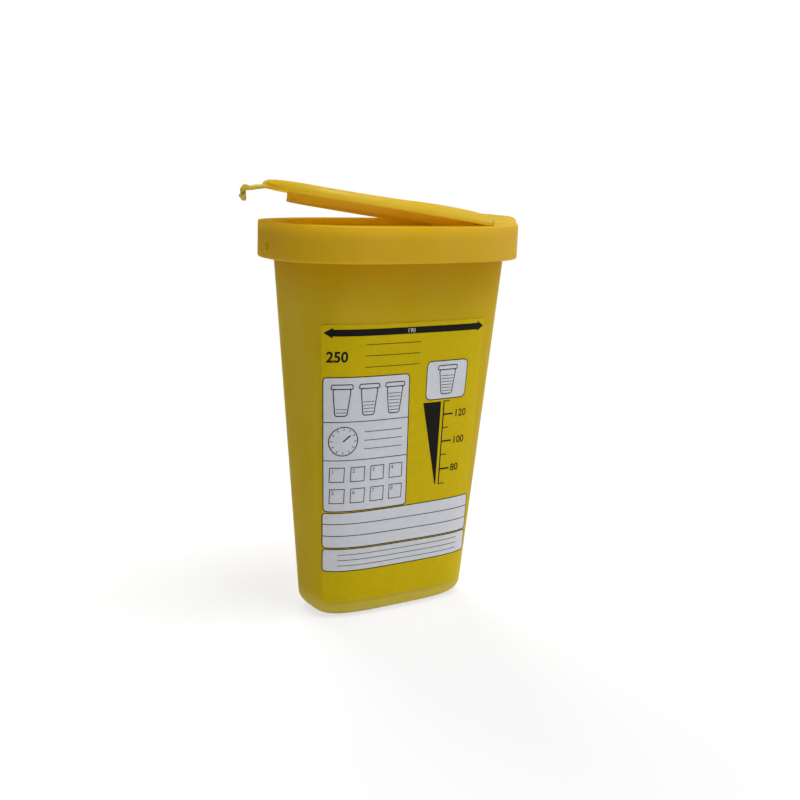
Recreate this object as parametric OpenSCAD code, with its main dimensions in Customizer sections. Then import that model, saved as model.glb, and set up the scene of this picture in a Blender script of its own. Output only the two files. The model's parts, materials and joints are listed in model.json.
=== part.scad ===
// Pocket sharps container: a tapered oval cup, a clip-on collar with a fixed hinge deck,
// a flap on a film hinge, and a small fold-down latch with a barbed hook.
// Millimetres. +Z is up, +X points at the hinge end, -Y is the labelled front.
// The origin is the centre of the base, on the surface that the cup stands on.

/* [Cup] */
// Height of the cup, from the base to the brim
cup_h = 134.6; // [100:0.1:170]
// Outside width at the brim, under the flange
cup_brim_w = 83.9; // [72:0.1:100]
// Outside depth at the brim, under the flange
cup_brim_d = 41.4; // [36:0.1:50]
// Outside width at the base, before its edge is rounded
cup_base_w = 60.4; // [50:0.1:74]
// Outside depth at the base, before its edge is rounded
cup_base_d = 28.4; // [24:0.1:36]
// Squareness of the cup's oval: 2 is an ellipse, more is squarer
cup_squareness = 3.6; // [3:0.05:3.8]
// Wall of the cup
cup_wall = 1.2; // [0.8:0.05:1.5]
// Thickness of the cup's floor
cup_floor = 1.5; // [1:0.1:4]
// Rounding of the outside edge of the base
base_edge_r = 4.8; // [3:0.1:5.4]
// Thickness of the flange round the brim
flange_t = 1.4; // [0.8:0.1:2.5]

/* [Collar] */
// How far the collar stands out past the cup's brim, at its two ends
collar_over_w = 5.55; // [5.2:0.05:9]
// The same at its front and back
collar_over_d = 5.25; // [5.2:0.05:9]
// Squareness of the collar's oval: 2 is an ellipse, more is squarer
collar_squareness = 2.67; // [2.6:0.01:3.2]
// Height of the collar's skirt, from its lower edge to its top face
collar_h = 12; // [10.5:0.1:20]
// Wall of the collar's skirt
collar_wall = 1.4; // [1:0.05:1.6]
// Thickness of the collar's top ring
ring_t = 1.4; // [1:0.1:2.5]
// Width of the top ring inside the cup, from the outside of the cup's brim in to the mouth
ring_w = 3.1; // [2.8:0.05:6]
// Wall of the lip that hangs inside the cup
lip_wall = 1; // [0.8:0.1:1.2]
// Depth of that lip below the top ring
lip_depth = 5; // [3:0.1:6]
// Gap between the cup's flange and the inside of the skirt
flange_gap = 0.5; // [0.3:0.05:0.7]
// How far the snap bead reaches under the flange
bead_bite = 0.9; // [0.5:0.05:1.1]
// Height of the snap bead
bead_h = 1.2; // [0.8:0.1:1.3]
// Gap between the snap bead and the flange
bead_gap = 0.1; // [0.05:0.05:0.3]

/* [Flap] */
// Thickness of the flap's rim, and of the deck beside it
flap_t = 3.15; // [3:0.05:5]
// Gap under the closed flap
seat_gap = 0.3; // [0.2:0.05:0.5]
// Step from the collar's outside in to the flap's edge, at the front and the back
cap_margin = 1.6; // [0.5:0.05:2.2]
// The same step at the two ends
cap_end_margin = 0.8; // [0.6:0.05:1.4]
// How far the flap and the deck sit toward the hinge end
cap_shift = -0.25; // [-0.3:0.05:0.5]
// Rounding of the flap's and the deck's top edge
cap_edge_r = 2.7; // [1:0.1:2.9]
// Wall of the flap and of the deck
cap_wall = 1.5; // [1.4:0.05:1.8]
// Distance of the film hinge from the middle of the collar
hinge_x = 26.8; // [22:0.1:32]
// Depth of the film hinge below the flap's top face
hinge_drop = 0.35; // [0.3:0.05:1]
// Radius of the rolled film that the flap turns on
film_r = 0.3; // [0.2:0.05:0.45]
// Slope of each side of the fold groove over the film, in degrees
groove_deg = 20; // [15:1:25]
// Gap between the film and the flap's end
film_gap = 0.1; // [0.05:0.05:0.2]
// Depth of the plug below the flap's rim
plug_depth = 2.4; // [2:0.1:4.5]
// Wall of the plug
plug_wall = 1.2; // [0.8:0.1:2]
// Gap between the plug and the mouth
plug_gap = 0.6; // [0.5:0.05:1.2]
// Gap between the plug and the hinge
plug_setback = 3; // [2.5:0.1:6]
// How far the flap stands open, in degrees
flap_open_deg = 7.7; // [0:0.1:60]

/* [Latch] */
// Length of the strap, from its film hinge to the hook
strap_l = 8; // [7.2:0.1:9]
// Width of the strap at the flap
strap_w = 5; // [4:0.1:9]
// Width of the strap at the hook
strap_end_w = 2.4; // [2:0.1:3.5]
// Thickness of the strap
strap_t = 1.25; // [1:0.05:1.5]
// Gap between the folded strap and the collar
latch_gap = 0.3; // [0.2:0.05:0.5]
// Radius of the rolled film that the strap turns on
latch_film_r = 0.4; // [0.3:0.05:0.45]
// Height of that film above the flap's lower edge
latch_lift = 0.2; // [0.1:0.05:0.6]
// Diameter of the finger nub on the strap's end
nub_d = 1.8; // [1:0.1:2.4]
// Height of the finger nub
nub_h = 0.7; // [0.4:0.1:1.2]
// Thickness of the hook's neck, along the strap
hook_t = 1.3; // [1:0.05:1.6]
// Width of the hook
hook_w = 1.8; // [1.2:0.1:2]
// Length of the hook below the strap
hook_l = 3; // [2.8:0.1:3.6]
// Length of the hook's neck, down to the barb
hook_neck_l = 1.2; // [1:0.05:1.6]
// How far the hook's barb stands out
hook_barb = 0.85; // [0.4:0.05:1]
// Gap between the hook and its socket
socket_gap = 0.3; // [0.2:0.05:0.5]
// How far the latch is folded down from the flap, in degrees
latch_fold_deg = 12; // [0:0.5:90]

/* [Label] */
// Height of the label's lower edge above the base
label_z0 = 6; // [5.5:0.1:30]
// Height of the label's upper edge above the base
label_z1 = 104; // [70:0.1:118]
// Step from the cup's latch end in to the label's upper corner
label_left_top = 4.4; // [2:0.1:16]
// The same at its lower corner
label_left_bottom = 1.4; // [1.3:0.1:12]
// Step from the cup's hinge end in to the label's upper corner
label_right_top = 10.6; // [2:0.1:16]
// The same at its lower corner
label_right_bottom = 3.5; // [1.3:0.1:12]
// Thickness of the label's film
label_t = 0.15; // [0.1:0.01:0.4]
// Adhesive gap between the label and the cup
label_gap = 0.04; // [0.03:0.01:0.1]

/* [Hidden] */

$fn = 48;

// Points round an oval
oval_points = 96;
// Steps of a rounded edge
edge_steps = 5;
// How far one shape runs into or past another, where they are joined or cut
overlap = 0.4;
past = 1;

yellow = [0.93, 0.72, 0.05];
label_yellow = [0.96, 0.82, 0.04];

// Heights of the collar and of what stands on it
collar_top = cup_h + ring_t;
collar_bottom = collar_top - collar_h;
flange_z = cup_h - flange_t;
lip_z = cup_h - lip_depth;
seat_z = collar_top + seat_gap;
cap_top = seat_z + flap_t;
hinge_z = cap_top - hinge_drop;

// Outside of the collar, which clips over the cup's brim
collar_w = cup_brim_w + 2 * collar_over_w;
collar_d = cup_brim_d + 2 * collar_over_d;

// Half sizes of the ovals
collar_a = collar_w / 2;
collar_b = collar_d / 2;
mouth_a = cup_brim_w / 2 - ring_w;
mouth_b = cup_brim_d / 2 - ring_w;
cap_a = collar_a - cap_end_margin;
cap_b = collar_b - cap_margin;
skirt_in = collar_wall;
flange_in = collar_wall + flange_gap;

// Share of a film's radius by which its middle stands clear of the wall that it grows from
film_clear = 0.6;

// The hinge line: the deck's end wall carries the film, and the flap ends just short of it
deck_x = hinge_x + film_r * film_clear;
flap_x = hinge_x - film_r - film_gap;
hinge_half = oval_y(cap_a, cap_b, collar_squareness, hinge_x - cap_shift) - cap_edge_r - overlap;

// The latch's film hinge, with the flap closed
latch_x = -(collar_a + latch_gap + strap_t / 2);
latch_z = seat_z + latch_lift + latch_film_r;
// The strap and its root are as thick as the film where they meet it
strap_start = latch_film_r + film_gap;
// The socket: from the near side of the hook's neck to the barb's reach as it swings in
socket_near = strap_l - hook_t / 2 - socket_gap;
socket_far = norm([strap_l + hook_t / 2 + hook_barb, strap_t / 2 + hook_neck_l]) + socket_gap;
socket_half = hook_w / 2 + socket_gap;

// A signed power, which turns a circle's sine and cosine into an oval's
function signed_power(v, e) = sign(v) * pow(abs(v), e);

// One point of an oval with half sizes a and b, at the angle t
function oval_point(a, b, n, t) = [a * signed_power(cos(t), 2 / n), b * signed_power(sin(t), 2 / n)];

// The whole oval
function oval(a, b, n) = [for (i = [0 : oval_points - 1]) oval_point(a, b, n, 360 * i / oval_points)];

// Half the oval's depth at a distance x from its middle
function oval_y(a, b, n, x) = b * pow(1 - pow(min(abs(x) / a, 1), n), 1 / n);

// The part of the oval on the latch side of the line x = limit
function oval_left(a, b, n, limit) = concat(
    [[limit, oval_y(a, b, n, limit)]],
    [for (p = oval(a, b, n)) if (p[0] < limit - 0.05 && p[1] >= 0) p],
    [for (p = oval(a, b, n)) if (p[0] < limit - 0.05 && p[1] < 0) p],
    [[limit, -oval_y(a, b, n, limit)]]);

// The part of the oval on the hinge side of the line x = limit
function oval_right(a, b, n, limit) = [for (p = oval_left(a, b, n, -limit)) [-p[0], -p[1]]];

// A ring of points at height z
function ring(a, b, n, z) = [for (p = oval(a, b, n)) [p[0], p[1], z]];

// A closed solid through a list of rings that have the same count of points
module loft(rings) {
    count = len(rings[0]);
    last = len(rings) - 1;
    sides = [for (j = [0 : last - 1], i = [0 : count - 1], half = [0, 1])
        let (k = (i + 1) % count, low = j * count, high = low + count)
        half == 0 ? [low + i, high + k, low + k] : [low + i, high + i, high + k]];
    start_cap = [for (i = [0 : count - 1]) i];
    end_cap = [for (i = [count - 1 : -1 : 0]) last * count + i];
    polyhedron(points = [for (r = rings) each r], faces = concat([start_cap], sides, [end_cap]));
}

// Outside half sizes of the cup at height z
function cup_a(z) = (cup_base_w + (cup_brim_w - cup_base_w) * z / cup_h) / 2;
function cup_b(z) = (cup_base_d + (cup_brim_d - cup_base_d) * z / cup_h) / 2;

// A ring of the cup at height z, drawn in from its outside by inset
function cup_ring(z, inset) = ring(cup_a(z) - inset, cup_b(z) - inset, cup_squareness, z);

// The cup, as one skin: up the outside, over the brim and its flange, and down the inside
module container_body() {
    inner_r = base_edge_r - cup_wall / 2;
    steps = [for (i = [0 : edge_steps]) 90 * i / edge_steps];
    flange_a = collar_a - flange_in;
    flange_b = collar_b - flange_in;
    edge = [for (t = steps) cup_ring(base_edge_r * (1 - cos(t)), base_edge_r * (1 - sin(t)))];
    brim = [cup_ring(flange_z, 0), ring(flange_a, flange_b, collar_squareness, flange_z),
        ring(flange_a, flange_b, collar_squareness, cup_h), cup_ring(cup_h, cup_wall)];
    inside = [for (i = [edge_steps : -1 : 0]) let (t = 90 * i / edge_steps)
        cup_ring(cup_floor + inner_r * (1 - cos(t)), cup_wall + inner_r * (1 - sin(t)))];
    color(yellow) loft(concat(edge, brim, inside));
}

// A straight oval block between two heights, drawn in from the collar's outside by inset
module collar_block(inset, z0, z1) {
    translate([0, 0, z0]) linear_extrude(z1 - z0)
        polygon(oval(collar_a - inset, collar_b - inset, collar_squareness));
}

// The rounded cap that the flap and the deck are both cut from, standing on height z0
module cap_block(z0) {
    edge = [for (i = [0 : edge_steps]) let (t = 90 * i / edge_steps, inset = cap_edge_r * (1 - cos(t)))
        ring(cap_a - inset, cap_b - inset, collar_squareness, cap_top - cap_edge_r * (1 - sin(t)))];
    translate([cap_shift, 0, 0]) loft(concat([ring(cap_a, cap_b, collar_squareness, z0)], edge));
}

// Everything on the hinge side of the plane x = limit, or on the latch side of it
module half_space(limit, hinge_side) {
    reach = 2 * collar_w;
    translate([hinge_side ? limit : limit - reach, -reach / 2, 0]) cube([reach, reach, reach]);
}

// The wide shallow groove that lets the flap fold back over the film
module fold_groove() {
    rise = hinge_drop + past;
    foot_half = film_r + film_gap;
    top_half = foot_half + rise / tan(groove_deg);
    translate([hinge_x, collar_d / 2, hinge_z]) rotate([90, 0, 0]) linear_extrude(collar_d)
        polygon([[-foot_half, 0], [foot_half, 0], [top_half, rise], [-top_half, rise]]);
}

// A round bar along Y
module cross_bar(x, z, r, half) {
    translate([x, half, z]) rotate([90, 0, 0]) cylinder(r = r, h = 2 * half);
}

// The socket in the collar's end that takes the latch's hook
module latch_socket() {
    translate([-collar_a - past, -socket_half, latch_z - socket_far])
        cube([collar_wall + 2 * past, 2 * socket_half, socket_far - socket_near]);
}

// The collar: skirt, snap bead, top ring, inner lip and the fixed deck beyond the hinge
module lid_collar() {
    bead_top = flange_z - bead_gap;
    lip_a = mouth_a + lip_wall;
    lip_b = mouth_b + lip_wall;
    color(yellow) difference() {
        union() {
            difference() {
                collar_block(0, collar_bottom, collar_top);
                collar_block(skirt_in, collar_bottom - past, cup_h);
            }
            difference() {
                collar_block(skirt_in - overlap, bead_top - bead_h, bead_top);
                collar_block(flange_in + bead_bite, bead_top - bead_h - past, bead_top + past);
            }
            translate([0, 0, lip_z]) linear_extrude(lip_depth + overlap)
                polygon(oval(lip_a, lip_b, collar_squareness));
            intersection() {
                cap_block(collar_top - overlap);
                half_space(deck_x, true);
            }
        }
        translate([0, 0, lip_z - past]) linear_extrude(cap_top - lip_z + 2 * past)
            polygon(oval_left(mouth_a, mouth_b, collar_squareness, deck_x));
        translate([0, 0, lip_z - past]) linear_extrude(cap_top - cap_wall - lip_z + past)
            polygon(oval_right(mouth_a, mouth_b, collar_squareness, deck_x + cap_wall));
        fold_groove();
        cross_bar(hinge_x, hinge_z, film_r, hinge_half);
        latch_socket();
    }
}

// The film between the deck and the flap, as the rolled bar that it bends into
module flap_hinge_web() {
    color(yellow) cross_bar(hinge_x, hinge_z, film_r, hinge_half);
}

// Takes a piece from the closed flap's place to where the flap stands
module on_flap() {
    translate([hinge_x, 0, hinge_z]) rotate([0, flap_open_deg, 0])
        translate([-hinge_x, 0, -hinge_z]) children();
}

// Takes a piece drawn about the latch's film, with the strap straight out, to where the latch stands
module on_latch() {
    on_flap() translate([latch_x, 0, latch_z]) rotate([0, -latch_fold_deg, 0]) children();
}

// The plug under the flap, which closes the mouth
module flap_plug() {
    a = mouth_a - plug_gap;
    b = mouth_b - plug_gap;
    limit = flap_x - plug_setback;
    z = seat_z - plug_depth;
    translate([0, 0, z]) linear_extrude(cap_top - cap_wall + overlap - z) difference() {
        polygon(oval_left(a, b, collar_squareness, limit));
        polygon(oval_left(a - plug_wall, b - plug_wall, collar_squareness, limit - plug_wall));
    }
}

// The short root on the flap's end that the latch's film grows from
module latch_root() {
    root_x = latch_x + latch_film_r * film_clear;
    difference() {
        translate([root_x, -strap_w / 2, latch_z - latch_film_r])
            cube([cap_shift - cap_a + cap_wall - root_x, strap_w, 2 * latch_film_r]);
        cross_bar(latch_x, latch_z, latch_film_r, strap_w);
    }
}

// The flap: a shallow cap with a plug under it
module lid_flap() {
    color(yellow) on_flap() union() {
        difference() {
            intersection() {
                cap_block(seat_z);
                half_space(flap_x, false);
            }
            translate([cap_shift, 0, seat_z - past]) linear_extrude(flap_t - cap_wall + past)
                polygon(oval_left(cap_a - cap_wall, cap_b - cap_wall, collar_squareness,
                    flap_x - cap_wall - cap_shift));
            fold_groove();
        }
        flap_plug();
        latch_root();
    }
}

// The film between the flap and the latch's strap, as the rolled bar that it bends into
module latch_hinge_web() {
    color(yellow) on_flap() cross_bar(latch_x, latch_z, latch_film_r, strap_w / 2);
}

// The latch's strap: a thin neck at the film, a strap that narrows to its end, and a finger nub
module latch_strap() {
    end_r = strap_end_w / 2;
    root = strap_start + strap_t / 2;
    color(yellow) on_latch() union() {
        translate([-root - overlap, -strap_w / 2, -latch_film_r])
            cube([root + overlap - strap_start, strap_w, 2 * latch_film_r]);
        translate([0, 0, -strap_t / 2]) linear_extrude(strap_t) union() {
            polygon([[-root, -strap_w / 2], [-root, strap_w / 2], [-strap_l, end_r], [-strap_l, -end_r]]);
            translate([-strap_l, 0]) circle(r = end_r);
        }
        translate([-strap_l + end_r / 2, 0, strap_t / 2 - overlap]) cylinder(d = nub_d, h = nub_h + overlap);
    }
}

// The hook under the strap: a neck, and a barb that catches behind the collar's wall
module latch_hook() {
    half = hook_t / 2;
    tip_half = hook_t / 4;
    color(yellow) on_latch() translate([-strap_l, hook_w / 2, -strap_t / 2]) rotate([90, 0, 0])
        linear_extrude(hook_w) polygon([[half, 0], [-half, 0], [-half, -hook_neck_l],
            [-half - hook_barb, -hook_neck_l], [-tip_half, -hook_l], [tip_half, -hook_l],
            [half, half - hook_l]]);
}

// Angle on the cup's oval at a step in from its end: the front is at 270 degrees
function front_angle(step, z) = asin(pow(1 - step / cup_a(z), cup_squareness / 2));

// One point of the label, at the share u of its width and the share v of its height
function label_point(u, v, off) = let (
    z = label_z0 + (label_z1 - label_z0) * v,
    left = 270 - front_angle(label_left_bottom + (label_left_top - label_left_bottom) * v, z),
    right = 270 + front_angle(label_right_bottom + (label_right_top - label_right_bottom) * v, z),
    p = oval_point(cup_a(z) + off, cup_b(z) + off, cup_squareness, left + (right - left) * u))
    [p[0], p[1], z];

// The label: a film that follows the cup's front
module front_label() {
    columns = 56;
    rows = 10;
    color(label_yellow) loft([for (j = [0 : rows]) concat(
        [for (i = [0 : columns]) label_point(i / columns, j / rows, label_gap + label_t)],
        [for (i = [columns : -1 : 0]) label_point(i / columns, j / rows, label_gap)])]);
}

container_body();
lid_collar();
flap_hinge_web();
lid_flap();
latch_hinge_web();
latch_strap();
latch_hook();
front_label();
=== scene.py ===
import json
import math
from collections import Counter

import bmesh
import bpy
import numpy as np
from mathutils import Matrix, Vector
from mathutils.geometry import delaunay_2d_cdt


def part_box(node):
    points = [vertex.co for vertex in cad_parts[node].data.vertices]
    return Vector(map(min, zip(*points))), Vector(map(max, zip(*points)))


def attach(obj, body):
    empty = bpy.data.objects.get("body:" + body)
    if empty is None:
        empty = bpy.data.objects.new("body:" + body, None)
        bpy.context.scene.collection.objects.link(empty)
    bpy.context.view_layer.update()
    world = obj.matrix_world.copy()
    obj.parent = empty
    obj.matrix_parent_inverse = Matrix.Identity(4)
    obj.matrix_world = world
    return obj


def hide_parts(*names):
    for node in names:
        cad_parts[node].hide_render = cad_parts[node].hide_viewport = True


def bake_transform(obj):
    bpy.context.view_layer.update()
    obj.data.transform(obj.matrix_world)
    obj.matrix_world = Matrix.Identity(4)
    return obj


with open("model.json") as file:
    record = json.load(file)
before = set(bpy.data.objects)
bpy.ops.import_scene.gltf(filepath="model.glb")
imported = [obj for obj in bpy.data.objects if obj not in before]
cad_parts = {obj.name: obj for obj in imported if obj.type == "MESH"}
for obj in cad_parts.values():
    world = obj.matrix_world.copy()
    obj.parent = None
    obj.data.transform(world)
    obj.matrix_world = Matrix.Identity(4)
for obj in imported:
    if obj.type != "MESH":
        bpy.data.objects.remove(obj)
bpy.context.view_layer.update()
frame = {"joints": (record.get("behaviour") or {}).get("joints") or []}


# Camera
# The container is seen from in front and a little above, turned so that the latch end comes
# forward on the left. The angles and the lens were fitted to the cup's and the collar's outlines.
MM = 0.001
AZIMUTH = math.radians(-32.63)
ELEVATION = math.radians(11.91)
ROLL = math.radians(2.09)
FOCAL_PX = 1132.0
FRAME_PX = 800
SENSOR_WIDTH = 36
DISTANCE = 403.4 * MM
NEAR_LIMIT = 10 * MM
AIM_HEIGHT = 68.0 * MM
AIM_RIGHT = 4.83 * MM
AIM_UP = 5.41 * MM

scene = bpy.context.scene


def added(name, data):
    """Adds an object to the scene."""
    obj = bpy.data.objects.new(name, data)
    scene.collection.objects.link(obj)
    return obj


view_right = Vector((math.cos(AZIMUTH), math.sin(AZIMUTH), 0))
view_back = Vector((math.sin(AZIMUTH) * math.cos(ELEVATION), -math.cos(AZIMUTH) * math.cos(ELEVATION),
                    math.sin(ELEVATION)))
view_up = view_back.cross(view_right)
aim = Vector((0, 0, AIM_HEIGHT)) + view_right * AIM_RIGHT + view_up * AIM_UP
rolled_right = view_right * math.cos(ROLL) + view_up * math.sin(ROLL)
rolled_up = view_up * math.cos(ROLL) - view_right * math.sin(ROLL)
camera_turn = Matrix((rolled_right, rolled_up, view_back)).transposed().to_4x4()

camera = added("camera", bpy.data.cameras.new("camera"))
camera.data.sensor_width = SENSOR_WIDTH
camera.data.lens = FOCAL_PX / FRAME_PX * SENSOR_WIDTH
camera.data.clip_start = NEAR_LIMIT
camera.matrix_world = Matrix.Translation(aim + view_back * DISTANCE) @ camera_turn
scene.camera = camera
scene.view_settings.view_transform = "Standard"


# Studio
# A white floor under three soft lamps: overhead, at the hinge end, and behind, which shines through
# the lid. Dark cloth shades the latch end, in the gloss and through the plastic. The world is white
# where it is seen and dim where it only lights.
FLOOR_SIZE = 6.0
FLOOR_GREY = 0.86
GLOW_FROM = 0.08
GLOW_TO = 0.22
GLOW_NEAR = 0.7
WORLD_LIGHT = 0.11
WHITE = (1, 1, 1, 1)
CLOTH_GREY = 0.08
FLAG_LEFT = -0.6
FLAG_RIGHT = 1.6
FLAG_FRONT = -0.5
FLAG_BACK = 1.3
FLAG_H = 1.6
LOW_FLAG_RIGHT = -0.06
LOW_FLAG_H = 1 * MM


def feed(tree, node, sockets):
    """Sets sockets of a node, each to a value or to the output that feeds it."""
    for socket, value in sockets.items():
        if isinstance(value, bpy.types.NodeSocket):
            tree.links.new(value, node.inputs[socket])
        else:
            node.inputs[socket].default_value = value
    return node


def add_node(tree, kind, sockets=None, **settings):
    """Adds a node to a tree, with its settings and its sockets."""
    node = tree.nodes.new(kind)
    for name, value in settings.items():
        setattr(node, name, value)
    return feed(tree, node, sockets or {})


def maths(tree, operation, *values):
    """The result of one step of arithmetic on values or outputs."""
    return add_node(tree, "ShaderNodeMath", dict(enumerate(values)), operation=operation).outputs[0]


def ranged(tree, value, old_range, new_range, curve="LINEAR"):
    """Takes a value from one range to another."""
    node = add_node(tree, "ShaderNodeMapRange", {"Value": value}, interpolation_type=curve)
    limits = zip(("From Min", "From Max", "To Min", "To Max"), (*old_range, *new_range))
    return feed(tree, node, dict(limits)).outputs["Result"]


def show_mix(tree, share, first, second):
    """Ends a tree in a mix of two shaders. The share is that of the second."""
    mix = add_node(tree, "ShaderNodeMixShader", {"Fac": share, 1: first.outputs[0], 2: second.outputs[0]})
    feed(tree, tree.get_output_node("ALL"), {"Surface": mix.outputs["Shader"]})


def new_material(name):
    """A new material, with its node tree and its main surface."""
    material = bpy.data.materials.new(name)
    material.use_nodes = True
    return material, material.node_tree, material.node_tree.nodes["Principled BSDF"]


def seen_directly(tree):
    """A factor that is 1 for what the camera sees, straight or in a reflection or through plastic."""
    path = add_node(tree, "ShaderNodeLightPath").outputs
    seen = path["Is Camera Ray"]
    for ray in ("Is Glossy Ray", "Is Transmission Ray"):
        seen = maths(tree, "MAXIMUM", seen, path[ray])
    return seen


def white_floor():
    """White paper. Where it is seen it glows, and less so near the object, which keeps a shadow there."""
    material, tree, paper = new_material("white_floor")
    feed(tree, paper, {"Base Color": (FLOOR_GREY, FLOOR_GREY, FLOOR_GREY, 1), "Roughness": 0.9})
    glow = add_node(tree, "ShaderNodeEmission", {"Strength": 1.0})
    place = add_node(tree, "ShaderNodeTexCoord").outputs["Object"]
    reach = add_node(tree, "ShaderNodeVectorMath", {0: place}, operation="LENGTH")
    fade = ranged(tree, reach.outputs["Value"], (GLOW_FROM, GLOW_TO), (GLOW_NEAR, 1), "SMOOTHSTEP")
    show_mix(tree, maths(tree, "MULTIPLY", seen_directly(tree), fade), paper, glow)
    return material


def sheet(name, corners, material):
    """A flat four-cornered sheet."""
    mesh = bpy.data.meshes.new(name)
    mesh.from_pydata(corners, [], [(0, 1, 2, 3)])
    mesh.materials.append(material)
    return added(name, mesh)


def level_corners(left, right, front, back, z):
    """Corners of a level sheet."""
    return [(left, front, z), (right, front, z), (right, back, z), (left, back, z)]


def upright_corners(x0, y0, x1, y1):
    """Corners of a sheet that stands on the floor."""
    return [(x0, y0, 0), (x1, y1, 0), (x1, y1, FLAG_H), (x0, y0, FLAG_H)]


def softbox(name, place, size, watts, mirrored=True):
    """A square lamp that faces the container. One that isn't mirrored leaves no highlight."""
    lamp = added(name, bpy.data.lights.new(name, "AREA"))
    lamp.data.shape = "SQUARE"
    lamp.data.size = size
    lamp.data.energy = watts
    lamp.location = place
    lamp.visible_glossy = mirrored
    way = Vector((0, 0, AIM_HEIGHT)) - Vector(place)
    lamp.rotation_euler = way.to_track_quat("-Z", "Y").to_euler()


half = FLOOR_SIZE / 2
floor = sheet("floor", level_corners(-half, half, -half, half, 0), white_floor())

world = bpy.data.worlds.new("studio")
world.use_nodes = True
scene.world = world
sky = world.node_tree
dim = feed(sky, sky.nodes["Background"], {"Color": WHITE, "Strength": WORLD_LIGHT})
bright = add_node(sky, "ShaderNodeBackground", {"Color": WHITE, "Strength": 1.0})
show_mix(sky, seen_directly(sky), dim, bright)

softbox("overhead", (0.15, -0.35, 1.5), size=0.6, watts=17.5)
softbox("back", (0.2, 1.3, 0.8), size=0.9, watts=22.0, mirrored=False)
softbox("hinge_end", (1.2, -0.5, 0.45), size=0.7, watts=4.0)

dark_cloth, cloth_tree, cloth = new_material("dark_cloth")
feed(cloth_tree, cloth, {"Base Color": (CLOTH_GREY, CLOTH_GREY, CLOTH_GREY, 1), "Roughness": 0.95})
flags = {
    "latch_end_flag": upright_corners(FLAG_LEFT, FLAG_FRONT, FLAG_LEFT, FLAG_BACK),
    "back_flag": upright_corners(FLAG_LEFT, FLAG_BACK, FLAG_RIGHT, FLAG_BACK),
    "low_flag": level_corners(FLAG_LEFT, LOW_FLAG_RIGHT, FLAG_FRONT, FLAG_BACK, LOW_FLAG_H),
}
for name, corners in flags.items():
    flag = sheet(name, corners, dark_cloth)
    flag.visible_camera = False
    flag.visible_diffuse = False
    flag.visible_shadow = False
    flag.visible_transmission = name != "low_flag"


# Cup
# The container itself: one injection-moulded polypropylene cup, oval and tapered, with a rounded
# base, a thin even wall and a flange round its brim that the collar clips over.
CUP_SQUARENESS = 3.6
COLLAR_SQUARENESS = 2.67
CUP_BASE_W = 60.4 * MM
CUP_BASE_D = 28.4 * MM
CUP_BRIM_W = 83.9 * MM
CUP_BRIM_D = 41.4 * MM
CUP_WALL = 1.2 * MM
CUP_FLOOR = 1.5 * MM
BASE_EDGE_R = 4.8 * MM
BASE_EDGE_STEPS = 14
FLANGE_T = 1.4 * MM
FLANGE_ROOT_R = 0.8 * MM
BRIM_EDGE_R = 0.3 * MM
FOOT_W = 2.4 * MM
FOOT_H = 0.5 * MM
FOOT_EDGE_R = 0.3 * MM
FOOT_ROOT_R = 0.4 * MM
HOLD_ROW = 0.4 * MM
OVAL_POINTS = 288
MERGE_WITHIN = 0.001 * MM
CUP_YELLOW = (0.72, 0.53, 0.004)
# Painted shade: over its upper part, below the brim, the cup's colour deepens to a darker orange, standing
# in for the shadow under the collar.
BRIM_PAINTED_SHADE = (0.54, 0.29, 0.002)
# Painted sheen: near the base the cup's colour turns paler and greyer, standing in for the white floor's
# reflection on the base's rounding.
BASE_PAINTED_SHEEN = (0.78, 0.675, 0.095)
LIGHT_THROUGH = (0.95, 0.74, 0.004)
BRIM_SHADE_FROM = 106 * MM
BASE_SHEEN_FROM = 9 * MM
BASE_SHEEN_TO = 4.5 * MM
CUP_SEE_THROUGH = 0.3
CUP_GLOSS = 0.05
CLOUD_DEEP = 0.95
CLOUD_PALE = 0.03
STREAK_STRETCH = 0.12
SATIN = (0.34, 0.50)

cup_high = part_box("container_body")[1]
CUP_H = cup_high.z
FLANGE_A = cup_high.x
FLANGE_B = cup_high.y


def cup_half(z):
    """Half width and half depth of the cup's outside at a height."""
    share = z / CUP_H
    return ((CUP_BASE_W + (CUP_BRIM_W - CUP_BASE_W) * share) / 2,
            (CUP_BASE_D + (CUP_BRIM_D - CUP_BASE_D) * share) / 2)


def cup_section(z, inset):
    """One row of a profile: half width, half depth, height and squareness."""
    a, b = cup_half(z)
    return (a - inset, b - inset, z, CUP_SQUARENESS)


def corner_curve(start, corner, end, steps):
    """Points of a curve that rounds a corner."""
    shares = [i / steps for i in range(steps + 1)]
    return [start * (1 - t) ** 2 + corner * 2 * t * (1 - t) + end * t ** 2 for t in shares]


def rounded(corners, steps=5, hold=0.25 * MM):
    """A profile through corners with edges rounded by the radius that ends each corner's row."""
    rows = []
    count = len(corners)
    for i, corner in enumerate(corners):
        here = np.array(corner[:4])
        radius = corner[4]
        if radius == 0 or i in (0, count - 1):
            rows.append(here)
            continue
        before = np.array(corners[i - 1][:4]) - here
        after = np.array(corners[i + 1][:4]) - here
        long_before = math.hypot(before[0], before[2])
        long_after = math.hypot(after[0], after[2])
        start = here + before * radius / long_before
        end = here + after * radius / long_after
        rows.append(here + before * min(0.5, (radius + hold) / long_before))
        rows += corner_curve(start, here, end, steps)
        rows.append(here + after * min(0.5, (radius + hold) / long_after))
    return rows


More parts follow.
